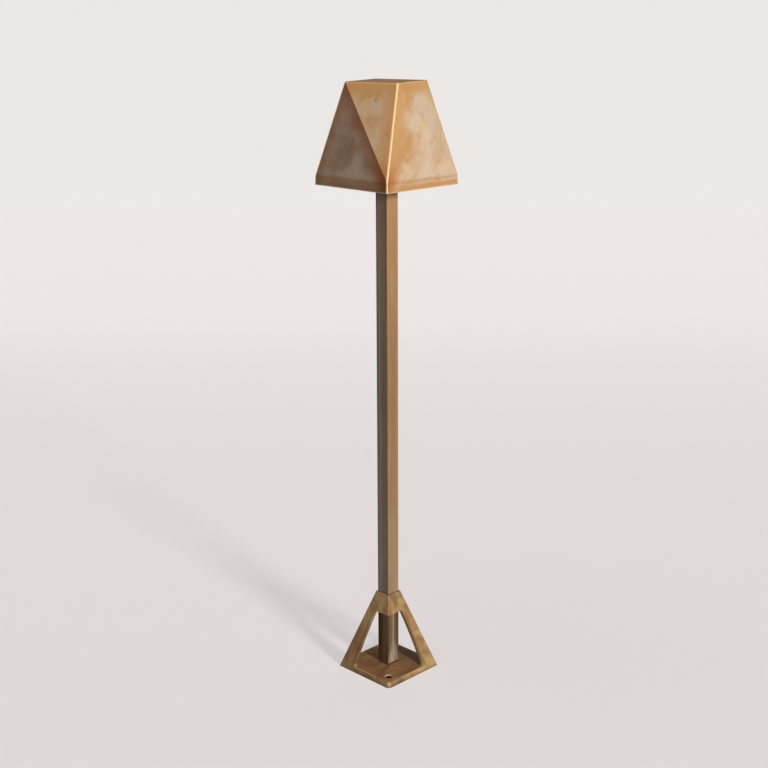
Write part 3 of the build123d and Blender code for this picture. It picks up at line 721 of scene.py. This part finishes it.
plainValues = {
    "zinc_steel": ("zincSteel", tone(150, 150, 146), tone(178, 178, 172), 0.9, 0.34, 0.0, 160, 1400, 0.0001),
    "black_rubber": ("blackRubber", tone(26, 26, 25), tone(38, 37, 36), 0.0, 0.72, 0.0, 220, 1800, 0.0001),
    "silicone": ("sealSilicone", tone(150, 66, 48), tone(170, 78, 56), 0.0, 0.45, 0.0, 160, 1200, 0.00005),
    "nylon": ("washerNylon", tone(222, 217, 203), tone(234, 230, 218), 0.0, 0.42, 0.0, 140, 1100, 0.00005),
    "ceramic": ("holderCeramic", tone(228, 224, 212), tone(240, 237, 228), 0.0, 0.5, 0.0, 240, 1600, 0.0001),
    "lead_insulation": ("leadInsulation", tone(214, 210, 198), tone(226, 222, 212), 0.0, 0.5, 0.0,
                        200, 1200, 0.00005),
    "connector_plastic": ("connectorPlastic", tone(42, 58, 110), tone(52, 70, 128), 0.0, 0.3, 0.2,
                          120, 900, 0.00005),
}


def makePlain(name, darker, lighter, metal, rough, coat, cloudScale, reliefScale, depth):
    finish = Finish(name)
    place = finish.place()
    cloud = finish.noise(place, cloudScale, 4)
    finish.give(baseColor=finish.ramp(cloud, ((0.35, darker), (0.65, lighter))), metallic=metal, coat=coat,
                roughness=cloud.line(noiseSpan, (rough * 0.85, rough * 1.15)))
    finish.bump(finish.noise(place, reliefScale, 3, 0.5), 0.2, depth)
    return finish.material


# glass, by material slot: name, colour, roughness, scale of the clouds

glassValues = {
    "lamp_glass": ("lampGlass", tone(248, 248, 246), 0.03, 60),
    "dome_glass": ("domeGlass", tone(240, 242, 238), 0.32, 80),
}


def makeGlass(name, colour, rough, cloudScale):
    finish = Finish(name)
    cloud = finish.noise(finish.place(), cloudScale, 3, 0.5)
    lighter = tuple(min(1, c * 1.03) for c in colour)
    finish.give(baseColor=finish.ramp(cloud, ((0.3, colour), (0.7, lighter))), transmission=1.0, ior=1.47,
                roughness=cloud.line(noiseSpan, (rough * 0.8, rough * 1.2)))
    return finish.material


finishes = {
    "hood_brass": makeHoodBrass(hoodValues),
    "cast_brass": makeCastBrass(castValues),
    "tube_brass": makeTubeBrass(tubeValues),
    "turned_brass": makeTurnedBrass(turnedValues),
    **{slot: makePlain(*row) for slot, row in plainValues.items()},
    **{slot: makeGlass(*row) for slot, row in glassValues.items()},
}
print("finishes made:", len(finishes))

slotOf = {part["node"]: part["material_slot"] for part in frame["record"]["subparts"]}
for name, node in frame["nodes"].items():
    node.data.materials.clear()
    node.data.materials.append(finishes[slotOf[name]])


# rounded edges on the hood and the foot: width, and the least angle in degrees that is rounded;
# a CAD mesh is loose triangles, so it is welded before the bevel

edgeValues = {
    "pieces": {"shade_shell": (0.0013, 12), "base_casting": (0.0004, 25)},
    "weldWithin": 0.000002,
    "segments": 3,
}


def roundEdges(node, width, angle, values):
    weld = node.modifiers.new("weld", "WELD")
    weld.merge_threshold = values["weldWithin"]
    bevel = node.modifiers.new("arris", "BEVEL")
    bevel.width, bevel.segments = width, values["segments"]
    bevel.limit_method, bevel.angle_limit = "ANGLE", math.radians(angle)
    bevel.harden_normals = False


for name, (width, angle) in edgeValues["pieces"].items():
    roundEdges(frame["nodes"][name], width, angle, edgeValues)
print("arrises rounded")


# floor, backdrop and light

stageValues = {
    "reach": 6.0, "halfWidth": 9.0,              # of the flat floor, in Y and in X
    "bend": 1.5, "bendPoints": 24, "wallTop": 8.0,
    "farSpan": (0.0, 5.5),                       # in Y, where the floor's colour turns into the wall's
    "floor": tone(250, 244, 242),
    "wall": tone(238, 232, 232),
    "dim": 0.45,                                 # share of the sheet's colour in the light it throws back
    "rough": 0.9, "specular": 0.1,
    "glow": 0.54,                                # share of the glow in what is seen of the floor
    "glowTones": ((0.0, tone(246, 238, 239)), (0.3, tone(253, 246, 247)), (1.0, tone(235, 232, 230))),
    # lamps: azimuth, rise, power, spread, colour
    "keyLamp": (305, 15, 3.3, 11, (1.0, 0.98, 0.95)),
    "topLamp": (215, 58, 0.6, 60, (1, 1, 1)),
    "ambient": 0.07, "ambientColour": (0.97, 0.97, 1.0),
}


def makeSheet(values):
    # one sheet: flat floor that turns up into a wall along a quarter circle
    reach, bend = values["reach"], values["bend"]
    angle = np.linspace(0, np.pi / 2, values["bendPoints"])
    depth = np.concatenate([[-reach], reach + bend * np.sin(angle), [reach + bend]])
    height = np.concatenate([[0.0], bend * (1 - np.cos(angle)), [values["wallTop"]]])
    across = np.repeat([-values["halfWidth"], values["halfWidth"]], len(depth))
    points = np.stack([across, np.tile(depth, 2), np.tile(height, 2)], 1)
    first, n = np.arange(len(depth) - 1), len(depth)
    faces = np.stack([first, first + n, first + n + 1, first + 1], 1)
    mesh = bpy.data.meshes.new("backdrop")
    mesh.from_pydata(points.tolist(), [], faces.tolist())
    mesh.shade_smooth()
    sheet = bpy.data.objects.new("backdrop", mesh)
    bpy.context.collection.objects.link(sheet)
    return sheet


def makeStagePaint(values):
    # a paint that shows the light's shadows, with a glow over it for the rays that are seen
    paint = Finish("stagePaint")
    far = paint.place().part("Y").fade(values["farSpan"])
    colour = paint.mix(far, values["floor"], values["wall"])
    thrownBack = paint.mix(1.0, colour, (values["dim"],) * 3, "MULTIPLY")
    diffuse, = paint.rays("Diffuse")
    paint.give(baseColor=paint.mix(diffuse, colour, thrownBack), roughness=values["rough"],
               specular=values["specular"])
    glow = paint.add("ShaderNodeEmission")
    paint.feed(glow.inputs["Color"], paint.ramp(far, values["glowTones"]))
    share = paint.seenRays() * far.line((0, 1), (values["glow"], 1.0))
    both = paint.mixShader(share, *(Socket(paint, node.outputs[0]) for node in (paint.shader, glow)))
    paint.feed(paint.nodes["Material Output"].inputs["Surface"], both)
    return paint.material


def addSun(name, turn, rise, power, spread, colour):
    # parallel light from azimuth turn (from +X, in degrees) and elevation rise
    data = bpy.data.lights.new(name, "SUN")
    data.angle, data.energy, data.color = math.radians(spread), power, colour
    lamp = bpy.data.objects.new(name, data)
    bpy.context.collection.objects.link(lamp)
    t, e = math.radians(turn), math.radians(rise)
    source = Vector((math.cos(t) * math.cos(e), math.sin(t) * math.cos(e), math.sin(e)))
    lamp.location = source * 2
    lamp.rotation_mode = "QUATERNION"
    lamp.rotation_quaternion = (-source).to_track_quat("-Z", "Y")


def makeWorld(values):
    # faint light from all around; the rays that are seen meet the wall's colour instead
    world = bpy.data.worlds.new("studio")
    world.use_nodes = True
    tree = Tree(world.node_tree)
    ambient, around = tree.nodes["Background"], tree.add("ShaderNodeBackground")
    tree.feed(ambient.inputs["Color"], values["ambientColour"])
    tree.feed(ambient.inputs["Strength"], values["ambient"])
    tree.feed(around.inputs["Color"], values["glowTones"][-1][1])
    backgrounds = (Socket(tree, node.outputs[0]) for node in (ambient, around))
    both = tree.mixShader(tree.seenRays(), *backgrounds)
    tree.feed(tree.nodes["World Output"].inputs["Surface"], both)
    bpy.context.scene.world = world


sheet = makeSheet(stageValues)
sheet.data.materials.append(makeStagePaint(stageValues))
addSun("keyLamp", *stageValues["keyLamp"])
addSun("topLamp", *stageValues["topLamp"])
makeWorld(stageValues)
bpy.context.scene.view_settings.view_transform = "Standard"
print("stage and lights set")
